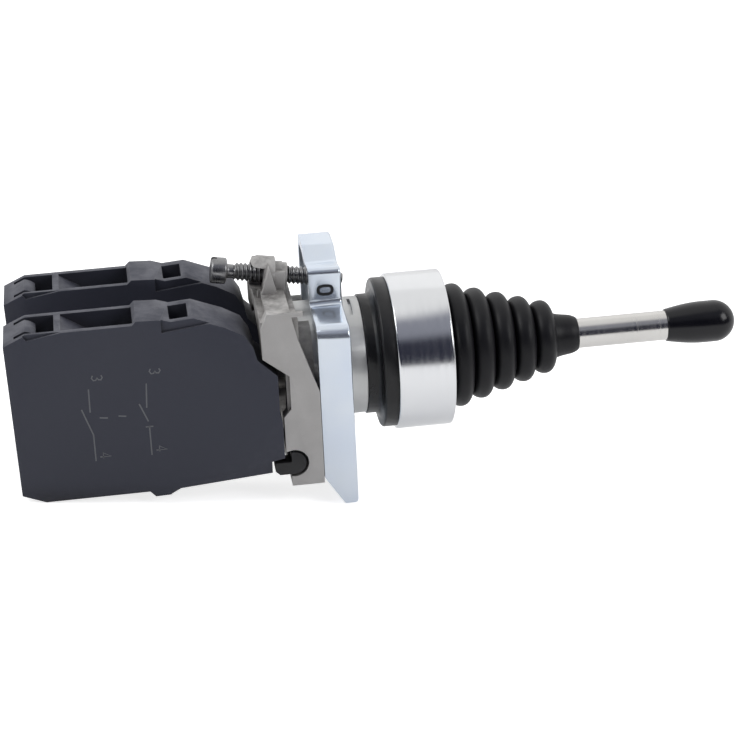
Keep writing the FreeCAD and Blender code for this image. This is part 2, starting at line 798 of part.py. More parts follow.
def stem_offset(side):
    # the stem sits nearer the lever axis than the middle of its block
    return side * (stem_y - block_pitch / 2)


def housing(side):
    half = block_width / 2
    body = side_prism(block_outline(), -half, half)
    body = body.cut(block_cavity())
    for pocket in terminal_pockets():
        body = body.cut(pocket)
        body = body.cut(mirrored(pocket))
    for place, turn in terminal_places():
        bore = screw_shape(terminal_screw_radius + seat_gap, terminal_head_radius + seat_gap,
                           terminal_shank_length + terminal_bore_rest)
        bore.rotate(V(0, 0, 0), V(0, 1, 0), turn)
        bore.translate(place)
        body = body.cut(bore)
        body = body.cut(mirrored(bore))
    for contact in fixed_contact_shapes(seat_gap / 2):
        body = body.cut(contact)
    stem = rod(block_front_x - 11, 0, stem_radius + free_gap, stem_offset(side), block_mid_z)
    body = body.cut(stem)
    for wedge in top_wedges(-half):
        body = body.cut(wedge)
    seat = side_prism(cover_outline(0), half - cover_thickness, half + 1)
    for sign in (-1, 1):
        body = body.cut(foot_slant(sign * half))
    return body.cut(seat).removeSplitter()


def top_wedges(face):
    # two shallow wedges off the top edge of the broad face without a cover
    rear = block_rear_x
    top = block_top_z
    behind = [
        (rear + 4.2, top - 1.1), (rear + 12.6, top + 0.3), (rear + 12.6, top + 1.3), (rear + 2.2, top + 1.3),
    ]
    ahead = [
        (rear + 28.2, top - 1.9), (rear + 37.2, top - 0.9), (rear + 34.2, top + 1.5), (rear + 28.2, top + 1.5),
    ]
    return [side_prism(outline, face - 1, face + 0.5) for outline in (behind, ahead)]


def foot_slant(face):
    # wedge off the lower front edge of a broad face, along a slanting crease
    bottom = block_bottom_z
    inward = -0.9 if face > 0 else 0.9
    crease = V(block_front_x - 19.4, face, bottom + 0.6)
    along = V(block_front_x - 0.5, face, bottom + 4.1).sub(crease)
    crease = crease.sub(along * 0.1)
    outside = crease.add(V(0, -inward, 0))
    points = [crease, outside, outside.add(V(0, 0, -6)), crease.add(V(0, inward * 1.9, -6))]
    return Part.Face(Part.makePolygon(points + [points[0]])).extrude(along * 1.2)


def cover_outline(gap):
    z0 = block_mid_z - cavity_half_height - 1.4 + gap
    z1 = block_mid_z + cavity_half_height + 1.4 - gap
    rear = block_rear_x + 3.2 + gap
    front = block_front_x - 4.6 - gap
    chamfer = cover_chamfer
    return [
        (rear + chamfer, z0), (front - chamfer, z0), (front, z0 + chamfer), (front, z1 - chamfer),
        (front - chamfer, z1), (rear + chamfer, z1), (rear, z1 - chamfer), (rear, z0 + chamfer),
    ]


def cover():
    half = block_width / 2
    return side_prism(cover_outline(seat_gap / 2), half - cover_thickness, half)


def carriage(side):
    # the sliding carrier with one window for each moving bridge
    rear = bridge_x[0] - window_half - 3.0
    front = bridge_x[1] + window_half + 2.6
    body = box(rear, front, -carriage_half_width, carriage_half_width, block_mid_z - carriage_half_height,
               block_mid_z + carriage_half_height)
    for x in bridge_x:
        body = body.cut(box(x - window_half, x + window_half, -window_half_width, window_half_width,
                            block_bottom_z, block_top_z))
    stem_end = push_rod_end_x + foot_thickness
    stem = rod(front - 0.5, stem_end, stem_radius - stem_gap, stem_offset(side), block_mid_z)
    return body.fuse(stem).removeSplitter()


def bridges():
    # the rear bridge closes when the carriage is pushed, the front one when it is pulled
    bars = []
    for x, side in zip(bridge_x, (-1, 1)):
        face = x + side * (window_half - press_gap)
        low, high = sorted((face, face - side * bridge_thickness))
        bars.append(box(low, high, -bridge_half_width, bridge_half_width, block_mid_z - bridge_half_span,
                        block_mid_z + bridge_half_span))
    return Part.makeCompound(bars)


def bridge_springs():
    # leaf springs that press each bridge on to the end of its window
    leaves = []
    for x, side in zip(bridge_x, (-1, 1)):
        near = x + side * (window_half - bridge_thickness - seat_gap / 2)
        end = x - side * (window_half - press_gap)
        low, low_back, high_back, high = [
            V(end, -leaf_half_width, block_mid_z + k * leaf_half_height) for k in (-1, -0.83, 0.83, 1)]
        crown = V(near, -leaf_half_width, block_mid_z)
        crown_back = crown.add(V(-side * 0.25, 0, 0))
        outline = [
            Part.Arc(low, crown, high).toShape(),
            Part.LineSegment(high, high_back).toShape(),
            Part.Arc(high_back, crown_back, low_back).toShape(),
            Part.LineSegment(low_back, low).toShape(),
        ]
        leaves.append(Part.Face(Part.Wire(outline)).extrude(V(0, 2 * leaf_half_width, 0)))
    return Part.makeCompound(leaves)


def fixed_contact_shapes(grow):
    # angled strips that run from beside a bridge to under a terminal
    strips = []
    for index, side in enumerate((-1, 1)):
        x = bridge_x[index] + side * (window_half - press_gap + contact_gap)
        x0, x1 = sorted((x, x + side * contact_thickness))
        reach = block_rear_x + (6.2 if index == 0 else 30.2)
        half = contact_half_width + grow
        foot = block_mid_z + carriage_half_height + free_gap + 0.2
        top = block_mid_z + cavity_half_height + contact_thickness + grow
        upright = box(x0 - grow, x1 + grow, -half, half, foot, top)
        shelf = box(min(reach, x0) - grow, max(x1, reach + 2.4) + grow, -half, half,
                    top - contact_thickness - 0.2 - 2 * grow, top)
        strip = upright.fuse(shelf).removeSplitter()
        strips.append(strip)
        strips.append(mirrored(strip))
    return strips


def screw_shape(radius, head_radius, length):
    # head seat at the origin, shank along +X
    head = rod(-terminal_head_length, 0, head_radius)
    return head.fuse(rod(-0.1, length, radius))


def terminal_screws():
    screws = []
    for place, turn in terminal_places():
        screw = screw_shape(terminal_screw_radius, terminal_head_radius, terminal_shank_length)
        slot_end = -terminal_head_length + terminal_slot_depth
        reach = 2 * terminal_head_radius
        slot = box(-terminal_head_length - 1, slot_end, -reach, reach, -terminal_slot_half, terminal_slot_half)
        screw = screw.cut(slot)
        screw.rotate(V(0, 0, 0), V(0, 1, 0), turn)
        screw.translate(place)
        screws.append(screw)
        screws.append(mirrored(screw))
    return Part.makeCompound(screws)


def moved(shape, distance):
    shape.translate(V(0, distance, 0))
    return shape


def main():
    os.makedirs("parts", exist_ok=True)
    save("head_body", head_body())
    save("panel_gasket", panel_gasket())
    save("bezel_ring", bezel_ring())
    save("boot_lower", boot_lower())
    save("boot_upper", boot_upper())
    save("lever_rod", lever_rod())
    save("lever_hub", lever_hub())
    save("lever_pin", lever_pin())
    save("lever_knob", knob())
    save("gimbal_ring", gimbal_ring())
    save("gimbal_trunnions", trunnion_pair(V(0, 1, 0), ring_inner_radius + 2 * seat_gap))
    save("slotted_bail", slotted_bail())
    save("bail_trunnions", trunnion_pair(V(0, 0, 1), bail_inner_radius))
    save("push_rod_near", push_rod(-1))
    save("push_rod_far", push_rod(1))
    save("spring_seat", spring_seat())
    save("centring_spring", centring_spring())
    save("clamp_plate", clamp_plate())
    save("clamp_collar", clamp_collar())
    save("clamp_screw", clamp_screw())
    save("lock_lever", lock_lever())
    for side, name in ((-1, "near"), (1, "far")):
        place = side * block_pitch / 2
        save(name + "_block_housing", moved(housing(side), place))
        save(name + "_block_cover", moved(cover(), place))
        save(name + "_carriage", moved(carriage(side), place))
        save(name + "_bridges", moved(bridges(), place))
        save(name + "_bridge_springs", moved(bridge_springs(), place))
        save(name + "_fixed_contacts", moved(Part.makeCompound(fixed_contact_shapes(0)), place))
        save(name + "_terminal_screws", moved(terminal_screws(), place))


main()
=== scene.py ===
import bpy
import bmesh
import json
import math
import numpy as np
from mathutils import Matrix, Vector


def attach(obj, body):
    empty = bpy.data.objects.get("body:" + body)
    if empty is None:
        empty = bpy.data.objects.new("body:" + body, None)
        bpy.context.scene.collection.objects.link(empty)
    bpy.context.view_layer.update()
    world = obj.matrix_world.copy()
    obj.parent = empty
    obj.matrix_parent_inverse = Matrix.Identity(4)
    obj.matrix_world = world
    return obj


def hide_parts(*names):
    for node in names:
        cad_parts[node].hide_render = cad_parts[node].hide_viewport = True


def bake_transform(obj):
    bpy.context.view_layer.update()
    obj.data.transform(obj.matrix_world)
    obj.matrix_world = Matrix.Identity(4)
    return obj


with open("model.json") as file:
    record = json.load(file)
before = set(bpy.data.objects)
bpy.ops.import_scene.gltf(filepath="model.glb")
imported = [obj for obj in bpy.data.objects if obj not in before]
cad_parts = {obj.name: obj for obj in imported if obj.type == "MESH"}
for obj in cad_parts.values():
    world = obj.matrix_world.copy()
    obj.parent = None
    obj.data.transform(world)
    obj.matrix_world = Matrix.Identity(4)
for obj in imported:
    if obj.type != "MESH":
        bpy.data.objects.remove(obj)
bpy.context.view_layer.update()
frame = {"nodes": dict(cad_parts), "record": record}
nodes = frame["nodes"]
mm = 0.001
mergeReach = 0.002    # points nearer than this, in mm, are made one
flatAngle = 0.6    # faces that meet at less than this, in degrees, are made one
cornerShare = 0.48    # a rounded corner takes this share of a side at most, so neighbours don't meet
leastRadius = 1e-7    # radius in metres of a ring that stands for a point on the axis
bevelAngle = 32    # edges sharper than this, in degrees, are broken
bevelSegments = 2
print("frame loaded:", len(nodes), "nodes")


# Mesh helpers

def addMesh(name, points, faces, smooth=True):
    mesh = bpy.data.meshes.new(name)
    mesh.from_pydata([tuple(p) for p in points], [], [tuple(f) for f in faces])
    mesh.validate()
    mesh.update()
    mesh.polygons.foreach_set("use_smooth", np.full(len(mesh.polygons), smooth))
    piece = bpy.data.objects.new(name, mesh)
    bpy.context.scene.collection.objects.link(piece)
    return piece


def gridFaces(rows, columns, closeRows, closeColumns):
    # quads of a grid of points, row by row; a closed side joins its last line to its first
    rowCount = rows if closeRows else rows - 1
    columnCount = columns if closeColumns else columns - 1
    i, j = np.meshgrid(np.arange(rowCount), np.arange(columnCount), indexing="ij")
    nextI = (i + 1) % rows
    nextJ = (j + 1) % columns
    quads = np.stack([i * columns + j, nextI * columns + j, nextI * columns + nextJ, i * columns + nextJ], -1)
    return quads.reshape(-1, 4)


def turnedSurface(name, profile, turns, closed=True):
    # profile (x, r) turned about X: the point at angle a is (x, r cos a, r sin a); lengths in mm
    x = np.array([p[0] for p in profile]) * mm
    r = np.maximum(np.array([p[1] for p in profile]) * mm, leastRadius)
    a = np.linspace(0, 2 * math.pi, turns, endpoint=False)
    along = np.broadcast_to(x[:, None], (len(x), turns))
    points = np.stack([along, np.outer(r, np.cos(a)), np.outer(r, np.sin(a))], -1)
    faces = gridFaces(len(x), turns, closed, True)[:, ::-1]
    piece = addMesh(name, points.reshape(-1, 3), faces)
    tidyMesh(piece)
    return piece


def tidyMesh(piece, dissolve=False):
    # merges doubles, and points every face outwards
    work = bmesh.new()
    work.from_mesh(piece.data)
    bmesh.ops.remove_doubles(work, verts=work.verts, dist=mergeReach * mm)
    if dissolve:
        bmesh.ops.dissolve_limit(work, angle_limit=math.radians(flatAngle), verts=work.verts, edges=work.edges)
    bmesh.ops.recalc_face_normals(work, faces=work.faces)
    work.to_mesh(piece.data)
    work.free()


def rounded(points, radius, steps):
    # corner points (x, r) with each inner corner replaced by a quadratic curve of that reach
    corners = np.array(points, float)
    out = [tuple(corners[0])]
    for before, here, after in zip(corners, corners[1:], corners[2:]):
        reachIn = min(radius, np.linalg.norm(before - here) * cornerShare)
        reachOut = min(radius, np.linalg.norm(after - here) * cornerShare)
        start = here + (before - here) / np.linalg.norm(before - here) * reachIn
        end = here + (after - here) / np.linalg.norm(after - here) * reachOut
        t = np.linspace(0, 1, steps)[:, None]
        out += [tuple(p) for p in (1 - t) ** 2 * start + 2 * t * (1 - t) * here + t ** 2 * end]
    return out + [tuple(corners[-1])]


def autoSmooth(piece, degrees):
    piece.data.polygons.foreach_set("use_smooth", np.full(len(piece.data.polygons), True))
    piece.data.set_sharp_from_angle(angle=math.radians(degrees))


def softEdged(node, width, body):
    # the CAD piece with its edges broken by a small bevel
    piece = bpy.data.objects.new(node + "_finished", nodes[node].data.copy())
    bpy.context.scene.collection.objects.link(piece)
    piece.data.materials.clear()
    tidyMesh(piece, dissolve=True)
    piece.data.polygons.foreach_set("use_smooth", np.full(len(piece.data.polygons), True))
    bevel = piece.modifiers.new("edges", "BEVEL")
    bevel.width = width * mm
    bevel.segments = bevelSegments
    bevel.limit_method = "ANGLE"
    bevel.angle_limit = math.radians(bevelAngle)
    bevel.harden_normals = True
    bevel.use_clamp_overlap = True
    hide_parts(node)
    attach(piece, body)
    return piece


# Shader helpers

def newGroup(name, inputs, outputs):
    group = bpy.data.node_groups.new(name, "ShaderNodeTree")
    for socketName, kind, value in inputs:
        socket = group.interface.new_socket(name=socketName, in_out="INPUT", socket_type=kind)
        socket.default_value = value
    for socketName, kind in outputs:
        group.interface.new_socket(name=socketName, in_out="OUTPUT", socket_type=kind)
    start = group.nodes.new("NodeGroupInput")
    end = group.nodes.new("NodeGroupOutput")
    return group, start, end


def addNode(tree, kind, **values):
    node = tree.nodes.new(kind)
    for key, value in values.items():
        setattr(node, key, value)
    return node


def mathNode(tree, operation, first, second=None):
    node = addNode(tree, "ShaderNodeMath", operation=operation)
    for index, value in enumerate((first, second)):
        if value is None:
            continue
        if isinstance(value, (int, float)):
            node.inputs[index].default_value = value
        else:
            tree.links.new(value, node.inputs[index])
    return node.outputs[0]


def noiseNode(tree, vector, scale, detail=2.0, rough=0.5):
    node = addNode(tree, "ShaderNodeTexNoise")
    node.inputs["Scale"].default_value = scale
    node.inputs["Detail"].default_value = detail
    node.inputs["Roughness"].default_value = rough
    tree.links.new(vector, node.inputs["Vector"])
    return node.outputs["Fac"]


def rangeNode(tree, value, low, high, toLow=0.0, toHigh=1.0):
    node = addNode(tree, "ShaderNodeMapRange", interpolation_type="SMOOTHSTEP")
    for key, number in (("From Min", low), ("From Max", high), ("To Min", toLow), ("To Max", toHigh)):
        node.inputs[key].default_value = number
    tree.links.new(value, node.inputs["Value"])
    return node.outputs["Result"]


# Patterns that several materials use: noise scales are per metre, pairs are where a mask starts and is full

patterns = {
    "grain": {"fineScale": 5200.0, "coarseScale": 1500.0, "fineShare": 0.6, "toneScale": 120.0},
    "wear": {"radius": 0.25, "bend": (0.99, 0.9), "patchScale": 700.0, "patches": (0.35, 0.7)},
    "dustAndTopShade": {"upward": (0.2, 1.0), "patchScale": 260.0, "patches": (0.3, 0.75)},
    "paintedShade": {"openRoom": (0.95, 0.4), "patchScale": 420.0, "patches": (0.2, 0.7), "least": 0.55},
    "lines": {"heightScale": 1.0, "toneScale": 0.23},
    "moulded": {"shinyTone": (0.25, 0.75), "bumpDepth": 0.06, "roomSamples": 6},
    "metal": {"shinyTone": (0.2, 0.8), "bumpDepth": 0.02},
    "ink": {"size": 0.8, "mottle": 2.5, "shinyTone": (0.2, 0.8), "roughness": (0.5, 0.7)},
}


def makeGrainGroup():
    # fine moulded or cast grain: two sizes of noise, as a height and as a slow change of tone
    group, start, end = newGroup("fineGrain", [("Size", "NodeSocketFloat", 1.0), ("Mottle", "NodeSocketFloat", 1.0)],
                                 [("Height", "NodeSocketFloat"), ("Tone", "NodeSocketFloat")])
    values = patterns["grain"]
    place = addNode(group, "ShaderNodeTexCoord").outputs["Object"]
    scaled = addNode(group, "ShaderNodeVectorMath", operation="SCALE")
    group.links.new(place, scaled.inputs[0])
    group.links.new(start.outputs["Size"], scaled.inputs["Scale"])
    fine = noiseNode(group, scaled.outputs[0], values["fineScale"], 1.0)
    coarse = noiseNode(group, scaled.outputs[0], values["coarseScale"], 3.0)
    finePart = mathNode(group, "MULTIPLY", fine, values["fineShare"])
    coarsePart = mathNode(group, "MULTIPLY", coarse, 1 - values["fineShare"])
    group.links.new(mathNode(group, "ADD", finePart, coarsePart), end.inputs["Height"])
    slow = addNode(group, "ShaderNodeVectorMath", operation="SCALE")
    group.links.new(place, slow.inputs[0])
    group.links.new(start.outputs["Mottle"], slow.inputs["Scale"])
    group.links.new(noiseNode(group, slow.outputs[0], values["toneScale"], 4.0, 0.6), end.inputs["Tone"])
    return group


def makeEdgeGroup():
    # rubbed edges: places where a normal smoothed over a small radius leaves the face's own, broken up by noise
    group, start, end = newGroup("edgeWear", [("Amount", "NodeSocketFloat", 0.5)], [("Mask", "NodeSocketFloat")])
    values = patterns["wear"]
    place = addNode(group, "ShaderNodeTexCoord").outputs["Object"]
    smoothed = addNode(group, "ShaderNodeBevel", samples=4)
    smoothed.inputs["Radius"].default_value = values["radius"] * mm
    agreement = addNode(group, "ShaderNodeVectorMath", operation="DOT_PRODUCT")
    group.links.new(smoothed.outputs["Normal"], agreement.inputs[0])
    group.links.new(addNode(group, "ShaderNodeNewGeometry").outputs["True Normal"], agreement.inputs[1])
    ridge = rangeNode(group, agreement.outputs["Value"], *values["bend"])
    patchy = rangeNode(group, noiseNode(group, place, values["patchScale"], 4.0, 0.6), *values["patches"])
    mask = mathNode(group, "MULTIPLY", mathNode(group, "MULTIPLY", ridge, patchy), start.outputs["Amount"])
    group.links.new(mask, end.inputs["Mask"])
    return group


def makeDustAndTopShadingGroup():
    # thin dust on faces that look up; the same mask also paints lighter tops on the blocks and darker tops on the
    # casting, as painted light and shade
    group, start, end = newGroup("upFacingDustAndShading", [("Amount", "NodeSocketFloat", 0.3)], [("Mask", "NodeSocketFloat")])
    values = patterns["dustAndTopShade"]
    place = addNode(group, "ShaderNodeTexCoord").outputs["Object"]
    facing = addNode(group, "ShaderNodeSeparateXYZ")
    group.links.new(addNode(group, "ShaderNodeNewGeometry").outputs["Normal"], facing.inputs[0])
    upward = rangeNode(group, facing.outputs["Z"], *values["upward"])
    patchy = rangeNode(group, noiseNode(group, place, values["patchScale"], 5.0, 0.65), *values["patches"])
    mask = mathNode(group, "MULTIPLY", mathNode(group, "MULTIPLY", upward, patchy), start.outputs["Amount"])
    group.links.new(mask, end.inputs["Mask"])
    return group


def makePaintedShadeGroup():
    # painted shade in recesses: places with little open room about them are darkened, broken up by noise
    inputs = [("Amount", "NodeSocketFloat", 0.5), ("Open Room", "NodeSocketFloat", 1.0)]
    group, start, end = newGroup("cornerPaintedShade", inputs, [("Mask", "NodeSocketFloat")])
    values = patterns["paintedShade"]
    place = addNode(group, "ShaderNodeTexCoord").outputs["Object"]
    recess = rangeNode(group, start.outputs["Open Room"], *values["openRoom"])
    spots = noiseNode(group, place, values["patchScale"], 4.0, 0.6)
    patchy = rangeNode(group, spots, *values["patches"], values["least"], 1.0)
    mask = mathNode(group, "MULTIPLY", mathNode(group, "MULTIPLY", recess, patchy), start.outputs["Amount"])
    group.links.new(mask, end.inputs["Mask"])
    return group


def makeLineGroup():
    # fine lines left by turning or brushing: noise squeezed along one axis and drawn out along the others
    group, start, end = newGroup("toolLines", [("Squeeze", "NodeSocketVector", (9000.0, 60.0, 60.0))],
                                 [("Height", "NodeSocketFloat"), ("Tone", "NodeSocketFloat")])
    place = addNode(group, "ShaderNodeTexCoord").outputs["Object"]
    squeezed = addNode(group, "ShaderNodeVectorMath", operation="MULTIPLY")
    group.links.new(place, squeezed.inputs[0])
    group.links.new(start.outputs["Squeeze"], squeezed.inputs[1])
    values = patterns["lines"]
    group.links.new(noiseNode(group, squeezed.outputs[0], values["heightScale"], 3.0, 0.7), end.inputs["Height"])
    group.links.new(noiseNode(group, squeezed.outputs[0], values["toneScale"], 2.0, 0.5), end.inputs["Tone"])
    return group


grainGroup = makeGrainGroup()
edgeGroup = makeEdgeGroup()
dustAndTopShadingGroup = makeDustAndTopShadingGroup()
paintedShadeGroup = makePaintedShadeGroup()
lineGroup = makeLineGroup()


def useGroup(tree, group, **values):
    node = addNode(tree, "ShaderNodeGroup", node_tree=group)
    for key, value in values.items():
        node.inputs[key].default_value = value
    return node


def mixColour(tree, factor, first, second):
    node = addNode(tree, "ShaderNodeMix", data_type="RGBA")
    tree.links.new(factor, node.inputs["Factor"])
    for socket, value in ((node.inputs[6], first), (node.inputs[7], second)):
        if isinstance(value, tuple):
            socket.default_value = (*value, 1.0)
        else:
            tree.links.new(value, socket)
    return node.outputs[2]


def bumpNode(tree, height, strength, distance):
    node = addNode(tree, "ShaderNodeBump")
    node.inputs["Strength"].default_value = strength
    node.inputs["Distance"].default_value = distance * mm
    tree.links.new(height, node.inputs["Height"])
    return node.outputs["Normal"]


def newMaterial(name):
    material = bpy.data.materials.new(name)
    material.use_nodes = True
    tree = material.node_tree
    return material, tree, tree.nodes["Principled BSDF"]


def mouldedMaterial(name, look):
    # moulded plastic, rubber and castings: grain, slow tone, worn edges, dust with painted top light and shade,
    # painted shade in recesses
    values = patterns["moulded"]
    material, tree, shader = newMaterial(name)
    grain = useGroup(tree, grainGroup, Size=look["grainSize"], Mottle=look["mottle"])
    tone = mixColour(tree, grain.outputs["Tone"], look["dark"], look["light"])
    edge = useGroup(tree, edgeGroup, Amount=look["wear"])
    worn = mixColour(tree, edge.outputs["Mask"], tone, look["rubbed"])
    # dust on up-facing faces; the same mask paints top light and shade where a material's colour asks for it
    dustAndTopShade = useGroup(tree, dustAndTopShadingGroup, Amount=look["dustAndTopShade"])
    dustAndTopShaded = mixColour(tree, dustAndTopShade.outputs["Mask"], worn, look["dustAndTopShadeColour"])
    # painted shade: ambient occlusion darkens recesses and the gaps between parts, broken up by noise
    paintedShade = useGroup(tree, paintedShadeGroup, Amount=look["paintedShade"])
    room = addNode(tree, "ShaderNodeAmbientOcclusion", samples=values["roomSamples"])
    room.inputs["Distance"].default_value = look["paintedShadeReach"] * mm
    tree.links.new(room.outputs["AO"], paintedShade.inputs["Open Room"])
    final = mixColour(tree, paintedShade.outputs["Mask"], dustAndTopShaded, look["paintedShadeColour"])
    tree.links.new(final, shader.inputs["Base Color"])
    rough = rangeNode(tree, grain.outputs["Tone"], *values["shinyTone"], *look["roughness"])
    tree.links.new(rough, shader.inputs["Roughness"])
    bumpy = bumpNode(tree, grain.outputs["Height"], look["bump"], values["bumpDepth"])
    tree.links.new(bumpy, shader.inputs["Normal"])
    shader.inputs["Specular IOR Level"].default_value = look["specular"]
    return material


def metalMaterial(name, look):
    # turned, brushed or plated metal: lines along or round the piece, slow tone
    values = patterns["metal"]
    material, tree, shader = newMaterial(name)
    lines = useGroup(tree, lineGroup, Squeeze=look["squeeze"])
    grain = useGroup(tree, grainGroup, Size=1.0, Mottle=look["mottle"])
    tone = mixColour(tree, grain.outputs["Tone"], look["dark"], look["light"])
    tree.links.new(tone, shader.inputs["Base Color"])
    shader.inputs["Metallic"].default_value = look["metallic"]
    rough = rangeNode(tree, lines.outputs["Tone"], *values["shinyTone"], *look["roughness"])
    tree.links.new(rough, shader.inputs["Roughness"])
    bumpy = bumpNode(tree, lines.outputs["Height"], look["bump"], values["bumpDepth"])
    tree.links.new(bumpy, shader.inputs["Normal"])
    return material


looks = {
    # block resin: the up-facing mask's pale colour paints lighter tops, as painted light, with a little dust
    "block_resin": {"grainSize": 1.0, "mottle": 0.2, "dark": (0.044, 0.047, 0.067), "light": (0.047, 0.0505, 0.071),
                    "rubbed": (0.12, 0.125, 0.145), "wear": 0.5, "dustAndTopShade": 0.6, "dustAndTopShadeColour": (0.18, 0.183, 0.21),
                    "roughness": (0.55, 0.6), "bump": 0.28, "paintedShade": 0.85, "paintedShadeReach": 5.0,
                    "paintedShadeColour": (0.014, 0.014, 0.018), "specular": 0.45},
    "black_resin": {"grainSize": 1.2, "mottle": 1.0, "dark": (0.012, 0.012, 0.013), "light": (0.024, 0.024, 0.026),
                    "rubbed": (0.09, 0.09, 0.09), "wear": 0.4, "dustAndTopShade": 0.15, "dustAndTopShadeColour": (0.1, 0.1, 0.1),
                    "roughness": (0.4, 0.55), "bump": 0.25, "paintedShade": 0.5, "paintedShadeReach": 3.0,
                    "paintedShadeColour": (0.008, 0.008, 0.008), "specular": 0.45},
    "gasket_rubber": {"grainSize": 0.8, "mottle": 1.4, "dark": (0.008, 0.008, 0.009), "light": (0.018, 0.018, 0.02),
                      "rubbed": (0.05, 0.05, 0.05), "wear": 0.3, "dustAndTopShade": 0.1, "dustAndTopShadeColour": (0.08, 0.08, 0.08),
                      "roughness": (0.26, 0.38), "bump": 0.3, "paintedShade": 0.5, "paintedShadeReach": 3.0,
                      "paintedShadeColour": (0.006, 0.006, 0.006), "specular": 0.36},
    "boot_rubber": {"grainSize": 0.7, "mottle": 1.2, "dark": (0.0035, 0.0035, 0.0052),
                    "light": (0.006, 0.006, 0.0085), "rubbed": (0.04, 0.04, 0.04), "wear": 0.25,
                    "dustAndTopShade": 0.1, "dustAndTopShadeColour": (0.05, 0.05, 0.052), "roughness": (0.4, 0.5), "bump": 0.25,
                    "paintedShade": 0.4, "paintedShadeReach": 2.0, "paintedShadeColour": (0.003, 0.003, 0.004), "specular": 0.3},
    "knob_gloss": {"grainSize": 0.5, "mottle": 0.8, "dark": (0.0035, 0.0035, 0.0055),
                   "light": (0.006, 0.006, 0.009), "rubbed": (0.03, 0.03, 0.03), "wear": 0.2,
                   "dustAndTopShade": 0.04, "dustAndTopShadeColour": (0.08, 0.08, 0.08), "roughness": (0.19, 0.28), "bump": 0.03,
                   "paintedShade": 0.2, "paintedShadeReach": 1.0, "paintedShadeColour": (0.003, 0.003, 0.004), "specular": 0.4},
    "white_resin": {"grainSize": 1.0, "mottle": 0.9, "dark": (0.6, 0.58, 0.52), "light": (0.72, 0.7, 0.65),
                    "rubbed": (0.8, 0.79, 0.76), "wear": 0.3, "dustAndTopShade": 0.1, "dustAndTopShadeColour": (0.5, 0.48, 0.44),
                    "roughness": (0.35, 0.5), "bump": 0.15, "paintedShade": 0.4, "paintedShadeReach": 3.0,
                    "paintedShadeColour": (0.3, 0.28, 0.24), "specular": 0.5},
    # cast zinc: the up-facing mask's dark colour paints darker tops, as painted shade
    "cast_zinc": {"grainSize": 0.55, "mottle": 1.3, "dark": (0.47, 0.457, 0.443), "light": (0.64, 0.626, 0.606),
                  "rubbed": (0.62, 0.61, 0.6), "wear": 0.8, "dustAndTopShade": 1.0, "dustAndTopShadeColour": (0.13, 0.125, 0.12),
                  "roughness": (0.46, 0.54), "bump": 0.5, "paintedShade": 0.9, "paintedShadeReach": 3.5,
                  "paintedShadeColour": (0.13, 0.12, 0.112), "specular": 0.5},
}
metalLooks = {
    "chrome": {"squeeze": (7000.0, 90.0, 90.0), "mottle": 0.5,
               "dark": (0.74, 0.75, 0.77), "light": (0.86, 0.87, 0.88),
               "metallic": 1.0, "roughness": (0.14, 0.24), "bump": 0.05},
    "polished_steel": {"squeeze": (8000.0, 70.0, 70.0), "mottle": 0.8,
                       "dark": (0.62, 0.605, 0.58), "light": (0.76, 0.75, 0.73),
                       "metallic": 1.0, "roughness": (0.16, 0.3), "bump": 0.08},
    "steel": {"squeeze": (5000.0, 200.0, 200.0), "mottle": 1.5,
              "dark": (0.34, 0.34, 0.33), "light": (0.5, 0.5, 0.49),
              "metallic": 1.0, "roughness": (0.3, 0.45), "bump": 0.1},
    "spring_steel": {"squeeze": (900.0, 900.0, 900.0), "mottle": 2.0,
                     "dark": (0.3, 0.3, 0.3), "light": (0.45, 0.45, 0.45),
                     "metallic": 1.0, "roughness": (0.25, 0.4), "bump": 0.06},
    "zinc_plate": {"squeeze": (260.0, 260.0, 2600.0), "mottle": 0.9,
                   "dark": (0.64, 0.72, 0.86), "light": (0.82, 0.87, 0.91),
                   "metallic": 0.8, "roughness": (0.14, 0.26), "bump": 0.03},
    "screw_steel": {"squeeze": (3000.0, 300.0, 300.0), "mottle": 2.0,
                    "dark": (0.16, 0.16, 0.165), "light": (0.4, 0.4, 0.405),
                    "metallic": 0.95, "roughness": (0.2, 0.4), "bump": 0.1},
    "contact_brass": {"squeeze": (400.0, 400.0, 4000.0), "mottle": 1.5,
                      "dark": (0.55, 0.42, 0.2), "light": (0.7, 0.56, 0.3),
                      "metallic": 1.0, "roughness": (0.25, 0.4), "bump": 0.08},
    "neck_zinc": {"squeeze": (2500.0, 120.0, 120.0), "mottle": 1.2,
                  "dark": (0.5, 0.5, 0.49), "light": (0.65, 0.66, 0.66),
                  "metallic": 0.75, "roughness": (0.3, 0.44), "bump": 0.1},
    "screw_zinc": {"squeeze": (1500.0, 1500.0, 1500.0), "mottle": 2.0,
                   "dark": (0.45, 0.47, 0.48), "light": (0.62, 0.64, 0.66),
                   "metallic": 1.0, "roughness": (0.28, 0.42), "bump": 0.1},
}
materials = {name: mouldedMaterial(name + "_finish", look) for name, look in looks.items()}
materials.update({name: metalMaterial(name + "_finish", look) for name, look in metalLooks.items()})
print("materials made:", len(materials))


def dress(piece, slotName):
    piece.data.materials.clear()
    piece.data.materials.append(materials[slotName])


slotOf = {entry["node"]: entry["material_slot"] for entry in frame["record"]["subparts"]}
for node, piece in nodes.items():
    if not piece.material_slots:
        piece.data.materials.append(materials[slotOf[node]])
    for slot in piece.material_slots:
        slot.material = materials[slotOf[node]]


# Turned pieces, finer than the frame's facets

bezel = {"rear": 2.6, "front": 13.2, "radius": 14.75, "edge": 0.45, "edgeSteps": 5, "mouth": 11.8, "lip": 1.3,
         "inner": 13.05, "rearChamfer": 0.6, "turns": 160, "sharpAngle": 40}


